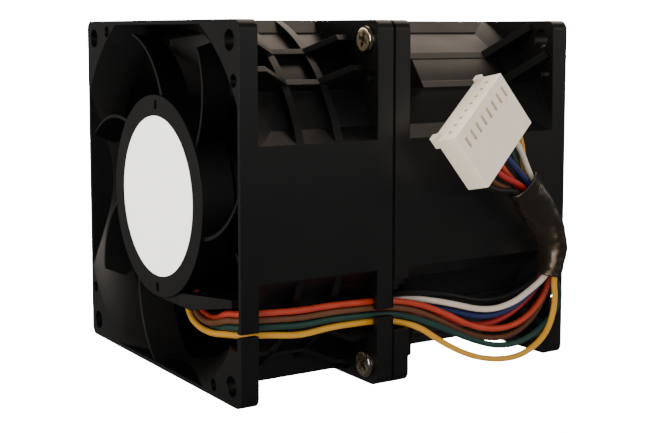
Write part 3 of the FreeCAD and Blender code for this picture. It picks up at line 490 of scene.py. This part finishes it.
# %% Soft PVC
def soft_pvc(name, colour, shade):
    """Extruded PVC insulation in one colour, with dull patches and a faint unevenness."""
    material, tree, output = new_finish(name)
    place = add(tree, "TexCoord").outputs["Object"]
    patch = add(tree, "TexNoise", Vector=place, Scale=grain(5), Detail=3, Roughness=0.6)
    fine = add(tree, "TexNoise", Vector=place, Scale=grain(0.8), Detail=2, Roughness=0.5)
    tone = add(tree, "Mix", {"data_type": "RGBA"}, n0=patch.outputs["Fac"],
               n6=linear(shade), n7=linear(colour))
    gloss = add(tree, "MapRange", Value=patch.outputs["Fac"], From_Min=noise_low, From_Max=noise_high,
                To_Min=0.42, To_Max=0.55)
    skin = add(tree, "Bump", Strength=0.25, Distance=0.03 * MM, Height=fine.outputs["Fac"])
    shader = add(tree, "BsdfPrincipled", Base_Color=tone.outputs[2], Roughness=gloss.outputs[0],
                 IOR=1.53, Normal=skin.outputs[0])
    return close_finish(material, tree, output, shader)


lead_colours = {
    "black": ("#121213", "#0a0a0b"), "brown": ("#6b3a14", "#4c2810"), "red": ("#a80e05", "#8a0a03"),
    "orange": ("#bc3202", "#881a02"), "blue": ("#142460", "#0e1a48"), "green": ("#0f4038", "#0b2b24"),
    "white": ("#c8b9aa", "#ad9d8e"), "yellow": ("#c68a05", "#b07c06"),
}
for colour, (bright, shade) in lead_colours.items():
    leads[colour].data.materials.append(soft_pvc("soft_pvc_" + colour, bright, shade))

# %% [markdown]
# ## Shrunk film
# The sleeve is black polyolefin film. Shrinking leaves it with a soft shine and small wrinkles, so its
# roughness is fairly low, and a noise that is stretched upwards, along the sleeve, bends its surface.

# %% Shrunk film
def shrunk_film():
    """Black shrunk film with wrinkles and an uneven shine."""
    material, tree, output = new_finish("shrunk_polyolefin_film")
    place = add(tree, "TexCoord").outputs["Object"]
    stretch = add(tree, "Mapping", Vector=place, Scale=(1, 1, 0.35))
    fold = add(tree, "TexNoise", Vector=stretch.outputs[0], Scale=grain(2.6), Detail=3, Roughness=0.55)
    skin = add(tree, "Bump", Strength=0.6, Distance=0.35 * MM, Height=fold.outputs["Fac"])
    gloss = add(tree, "MapRange", Value=fold.outputs["Fac"], From_Min=noise_low, From_Max=noise_high,
                To_Min=0.24, To_Max=0.4)
    shader = add(tree, "BsdfPrincipled", Base_Color=linear("#14110e"), Roughness=gloss.outputs[0],
                 IOR=1.55, Normal=skin.outputs[0])
    return close_finish(material, tree, output, shader)


sleeve.data.materials.append(shrunk_film())

# %% [markdown]
# ## Uncoloured plastics
# The plug is moulded from natural nylon, which is ivory and lets a little light in, so its edges look
# soft and its shadows warm. The insulators of the motors are a whiter nylon and the retaining clips
# are acetal, which looks alike but shinier, so one function serves all three. The texture of the
# mould is again drawn coarser than it is.

# %% Nylon and acetal
def uncoloured_plastic(name, colour, shade, roughness):
    """Pale moulded plastic that lets a little light in."""
    material, tree, output = new_finish(name)
    place = add(tree, "TexCoord").outputs["Object"]
    cloud = add(tree, "TexNoise", Vector=place, Scale=grain(6), Detail=3, Roughness=0.6)
    spark = add(tree, "TexNoise", Vector=place, Scale=grain(0.3), Detail=2, Roughness=0.5)
    tone = add(tree, "Mix", {"data_type": "RGBA"}, n0=cloud.outputs["Fac"],
               n6=linear(shade), n7=linear(colour))
    edge = add(tree, "Bevel", {"samples": 4}, Radius=0.15 * MM)
    skin = add(tree, "Bump", Strength=0.2, Distance=0.01 * MM, Height=spark.outputs["Fac"],
               Normal=edge.outputs[0])
    shader = add(tree, "BsdfPrincipled", Base_Color=tone.outputs[2], Roughness=roughness, IOR=1.53,
                 Subsurface_Weight=0.25, Subsurface_Radius=(1.0, 0.8, 0.6),
                 Subsurface_Scale=0.6 * MM, Normal=skin.outputs[0])
    return close_finish(material, tree, output, shader)


plug_nylon = uncoloured_plastic("natural_nylon", "#ecdfca", "#dccdb6", 0.45)
insulator_nylon = uncoloured_plastic("white_nylon", "#e6e4da", "#d8d5c8", 0.5)
clip_acetal = uncoloured_plastic("white_acetal", "#f0efe9", "#e4e2da", 0.35)

# %% [markdown]
# ## Metals
# Metals differ in how their surface was made. Nickel plating is nearly a mirror with a faint haze,
# drawn, turned and ground parts have fine rings, a punched stack of sheets shows its edges as lines
# half a millimetre apart, and a coil shows its wires. One function covers them: a noise makes the
# haze, and a wave texture along the fan's axis makes the lines where there are any. The rings are
# drawn a quarter to half a millimetre apart or a little more, coarser than they are.

# %% Metals
wave_radians = 20  # a wave texture of scale 1 moves on by so many radians in one metre


def worked_metal(name, colour, roughness, lines=None, depth=0.004):
    """Metal with a haze and, if lines gives their spacing, lines across Y; both in millimetres."""
    material, tree, output = new_finish(name)
    place = add(tree, "TexCoord").outputs["Object"]
    haze = add(tree, "TexNoise", Vector=place, Scale=grain(1.5), Detail=4, Roughness=0.6)
    gloss = add(tree, "MapRange", Value=haze.outputs["Fac"], From_Min=noise_low, From_Max=noise_high,
                To_Min=roughness - 0.04, To_Max=roughness + 0.08)
    height = haze.outputs["Fac"]
    if lines:
        wave = add(tree, "TexWave", {"bands_direction": "Y"}, Vector=place,
                   Scale=grain(lines) * 2 * math.pi / wave_radians, Distortion=0.4, Detail=1)
        height = wave.outputs["Fac"]
    skin = add(tree, "Bump", Strength=0.35, Distance=depth * MM, Height=height)
    shader = add(tree, "BsdfPrincipled", Base_Color=linear(colour), Metallic=1,
                 Roughness=gloss.outputs[0], Normal=skin.outputs[0])
    return close_finish(material, tree, output, shader)


bearing_steel = worked_metal("bearing_steel", "#c9cbce", 0.14)
metals = {
    "joining_screws": worked_metal("nickel_plate", "#bdb5a4", 0.16),
    "crimp_terminals": worked_metal("tinned_brass", "#cbc5b0", 0.3),
    "rotor_yoke": worked_metal("drawn_steel", "#a9a9a8", 0.32, lines=0.6),
    "shaft": worked_metal("ground_steel", "#c6c7c9", 0.18, lines=0.25),
    "bearing_inner_rings": bearing_steel,
    "bearing_outer_rings": bearing_steel,
    "bearing_balls": bearing_steel,
    "preload_spring": worked_metal("spring_wire", "#b4b4b6", 0.25),
    "bearing_tube": worked_metal("turned_brass", "#c9a45a", 0.28, lines=0.4),
    "stator_core": worked_metal("punched_sheet_stack", "#77777a", 0.42, lines=0.5, depth=0.05),
    "windings": worked_metal("enamelled_copper", "#b5683c", 0.3, lines=0.35, depth=0.08),
}

# %% [markdown]
# ## The label
# The label is a bare silver-white film on the motor's base. Its fine metal grain is drawn as flecks of
# a quarter of a millimetre, coarser than it is, and a slow cloud in its gloss and its surface shows
# that the film doesn't lie quite flat.

# %% Label film
def label_film():
    """Silver-white film with flecks and a slightly uneven surface."""
    material, tree, output = new_finish("silver_white_label_film")
    place = add(tree, "TexCoord").outputs["Object"]
    fleck = add(tree, "TexNoise", Vector=place, Scale=grain(0.25), Detail=2, Roughness=0.7)
    cloud = add(tree, "TexNoise", Vector=place, Scale=grain(9), Detail=3, Roughness=0.5)
    tone = add(tree, "Mix", {"data_type": "RGBA"}, n0=fleck.outputs["Fac"],
               n6=linear("#e4e4e2"), n7=linear("#f6f6f4"))
    gloss = add(tree, "MapRange", Value=cloud.outputs["Fac"], From_Min=noise_low, From_Max=noise_high,
                To_Min=0.3, To_Max=0.42)
    skin = add(tree, "Bump", Strength=0.1, Distance=0.02 * MM, Height=cloud.outputs["Fac"])
    shader = add(tree, "BsdfPrincipled", Base_Color=tone.outputs[2], Metallic=0.05,
                 Roughness=gloss.outputs[0], Normal=skin.outputs[0])
    return close_finish(material, tree, output, shader)


label_finish = label_film()

# %% [markdown]
# ## Magnet, board and packages
# The magnet is ferrite bonded in rubber. The board is glass laminate under green solder resist, and
# its packages are moulded epoxy. In all three a resin or rubber holds a filler that shows as flecks, so
# they differ in colour, in gloss and in the size of the flecks.

# %% Filled resin and rubber
def filled_plastic(name, colour, fleck_colour, fleck_size, roughness):
    """Resin or rubber with a filler that shows as flecks of a given size in millimetres."""
    material, tree, output = new_finish(name)
    place = add(tree, "TexCoord").outputs["Object"]
    fleck = add(tree, "TexNoise", Vector=place, Scale=grain(fleck_size), Detail=3, Roughness=0.7)
    tone = add(tree, "Mix", {"data_type": "RGBA"}, n0=fleck.outputs["Fac"],
               n6=linear(colour), n7=linear(fleck_colour))
    skin = add(tree, "Bump", Strength=0.25, Distance=0.02 * MM, Height=fleck.outputs["Fac"])
    shader = add(tree, "BsdfPrincipled", Base_Color=tone.outputs[2], Roughness=roughness, IOR=1.5,
                 Normal=skin.outputs[0])
    return close_finish(material, tree, output, shader)


bonded_ferrite = filled_plastic("bonded_ferrite", "#201f1f", "#35322f", 0.3, 0.6)
green_laminate = filled_plastic("green_solder_resist", "#0f4a2a", "#166238", 0.8, 0.28)
moulded_epoxy = filled_plastic("moulded_epoxy", "#1a1a1b", "#262626", 0.2, 0.5)

# %% [markdown]
# ## Dressing the solids
# Every solid of the two modules gets its finish by its own name, with the module's name taken off.
# The plain leads and the plain sleeve are replaced, but they get the finish of what replaces them.

# %% Finishes on the solids
finishes = {
    "frame": frame_plastic, "impeller": blade_plastic, "label": label_finish,
    "connector_housing": plug_nylon, "insulator": insulator_nylon, "retaining_clip": clip_acetal,
    "magnet_ring": bonded_ferrite, "circuit_board": green_laminate, "board_components": moulded_epoxy,
    "shrink_sleeve": sleeve.data.materials[0], **metals,
}
for colour, lead in leads.items():
    finishes["wire_" + colour] = lead.data.materials[0]
for name, node in nodes.items():
    plain_name = name.removeprefix("front_").removeprefix("rear_")
    node.data.materials.clear()
    node.data.materials.append(finishes[plain_name])
print("dressed:", len(nodes))

# %% [markdown]
# ## The room
# The fan stands in a white room. Black plastic shows nearly nothing but what it mirrors, and a white
# room would turn it grey. So the room has three strengths: very bright where the camera looks
# straight at it, dim where it is mirrored, and middling for the light that it sheds.

# %% Room
def room_strength(tree, seen, mirrored, shed):
    """Strength of the room's light for the camera, for mirrored rays and for everything else."""
    path = add(tree, "LightPath")
    unseen = add(tree, "MapRange", Value=path.outputs["Is Glossy Ray"], To_Min=shed, To_Max=mirrored)
    return add(tree, "MapRange", Value=path.outputs["Is Camera Ray"], To_Min=unseen.outputs[0],
               To_Max=seen)


room = bpy.data.worlds.new("room")
room.use_nodes = True
bpy.context.scene.world = room
room.node_tree.nodes.clear()
strength = room_strength(room.node_tree, seen=17.0, mirrored=0.065, shed=1.18)
air = add(room.node_tree, "Background", Color=(1, 1, 1, 1), Strength=strength.outputs[0])
room.node_tree.links.new(air.outputs[0], add(room.node_tree, "OutputWorld").inputs["Surface"])
print("room is lit")

# %% [markdown]
# ## The paper
# The fan stands on white paper that runs far beyond the picture. Mirrored and scattered rays pass the
# paper by, so it neither shows in the plastic nor brightens it from below. It is one square of a
# grid, a tenth of a millimetre under the fan, in a collection of its own for the lamps kept to it.

# %% Paper
floor_gap = 0.1 * MM
floor_reach = 6


def only(name, pieces):
    """Collection of pieces that a lamp can be kept to."""
    group = bpy.data.collections.new(name)
    bpy.context.scene.collection.children.link(group)
    for piece in pieces:
        group.objects.link(piece)
    return group


def backdrop_paper():
    """White matt paper with a faint cloud of fibres."""
    material, tree, output = new_finish("white_backdrop_paper")
    place = add(tree, "TexCoord").outputs["Object"]
    fibre = add(tree, "TexNoise", Vector=place, Scale=grain(3))
    tone = add(tree, "Mix", {"data_type": "RGBA"}, n0=fibre.outputs["Fac"],
               n6=linear("#f4f4f4"), n7=linear("#fbfbfb"))
    shader = add(tree, "BsdfPrincipled", Base_Color=tone.outputs[2], Roughness=0.9)
    return close_finish(material, tree, output, shader)


floor_mesh = bmesh.new()
bmesh.ops.create_grid(floor_mesh, x_segments=1, y_segments=1, size=floor_reach)
bmesh.ops.translate(floor_mesh, verts=floor_mesh.verts, vec=(0, 0, fan_foot - floor_gap))
floor = bpy.data.objects.new("floor", bpy.data.meshes.new("floor"))
floor_mesh.to_mesh(floor.data)
floor_mesh.free()
paper_only = only("paper", [floor])
floor.data.materials.append(backdrop_paper())
floor.visible_glossy = False
floor.visible_diffuse = False
print("paper lies at", round((fan_foot - floor_gap) / MM, 1), "mm")

# %% [markdown]
# ## Boxes of light
# A photographer lights black plastic with soft boxes, whose reflections draw its edges and curves.
# The top box hangs above and behind the fan, and the front, left, side and back boxes each light
# their side of it. The side box casts no shadow, so the wall below the plug and the sleeve stays
# readable. Small reflectors would brighten single pieces, and boxes that are kept to a collection do
# the same here: one for the film of the sleeve, one for the label and the plug, and one without
# shadow for the screws.

# %% Boxes
fan_middle = Vector((0, fan_back / 2, 0))


def soft_box(name, place, size, power, tint, kept_to=None, casts_shadow=True):
    """Square area light at a place in metres, aimed at the middle of the fan."""
    light = bpy.data.lights.new(name, "AREA")
    light.shape = "SQUARE"
    light.size = size
    light.energy = power
    light.color = linear(tint)[:3]
    light.use_shadow = casts_shadow
    box = bpy.data.objects.new(name, light)
    bpy.context.scene.collection.objects.link(box)
    box.location = place
    box.rotation_mode = "QUATERNION"
    box.rotation_quaternion = (fan_middle - Vector(place)).to_track_quat("-Z", "Y")
    if kept_to is not None:
        box.light_linking.receiver_collection = kept_to
    return box


film_only = only("shrunk_film", [sleeve])
pale_only = only("pale_pieces", [nodes["front_label"], nodes["connector_housing"]])
bright_only = only("bright_pieces", [nodes["joining_screws"]])
boxes = [
    soft_box("top_box", (-0.35, 0.5, 0.7), 0.85, 5, "#ffead6"),
    soft_box("front_box", (0.12, -0.8, 0.14), 0.4, 3.4, "#fff4e8"),
    soft_box("left_box", (-0.7, -0.5, 0.05), 0.6, 0.28, "#fffaf4"),
    soft_box("side_box", (0.8, 0.45, 0.2), 0.4, 0.5, "#ffffff", casts_shadow=False),
    soft_box("back_box", (0.45, 0.8, 0.2), 0.3, 0.6, "#fff0dc"),
    soft_box("film_box", (0.52, -0.6, 0.1), 0.9, 14, "#ffd9ac", film_only),
    soft_box("pale_box", (-0.3, -0.85, 0.35), 0.5, 22, "#fffdf8", pale_only),
    soft_box("screw_box", (-0.7, -0.5, 0.1), 0.5, 4, "#ffeccc", bright_only, casts_shadow=False),
]
print("boxes:", len(boxes))

# %% [markdown]
# ## Light on the paper
# Two sun lamps shine straight down and are kept to the paper. The strong one casts no shadow and
# makes the paper as white as the room, so that no horizon shows. The weak one casts the soft shadow
# of the fan, which is so faint beside the strong one that the picture hardly shows it.

# %% Paper lamps
def paper_sun(name, power, casts_shadow):
    """Wide sun lamp that lights the paper only."""
    light = bpy.data.lights.new(name, "SUN")
    light.energy = power
    light.angle = math.radians(90)
    light.use_shadow = casts_shadow
    lamp = bpy.data.objects.new(name, light)
    bpy.context.scene.collection.objects.link(lamp)
    lamp.light_linking.receiver_collection = paper_only
    return lamp


paper_lamps = [paper_sun("paper_wash", 110, False), paper_sun("paper_shade", 5, True)]
print("lamps:", len(paper_lamps))
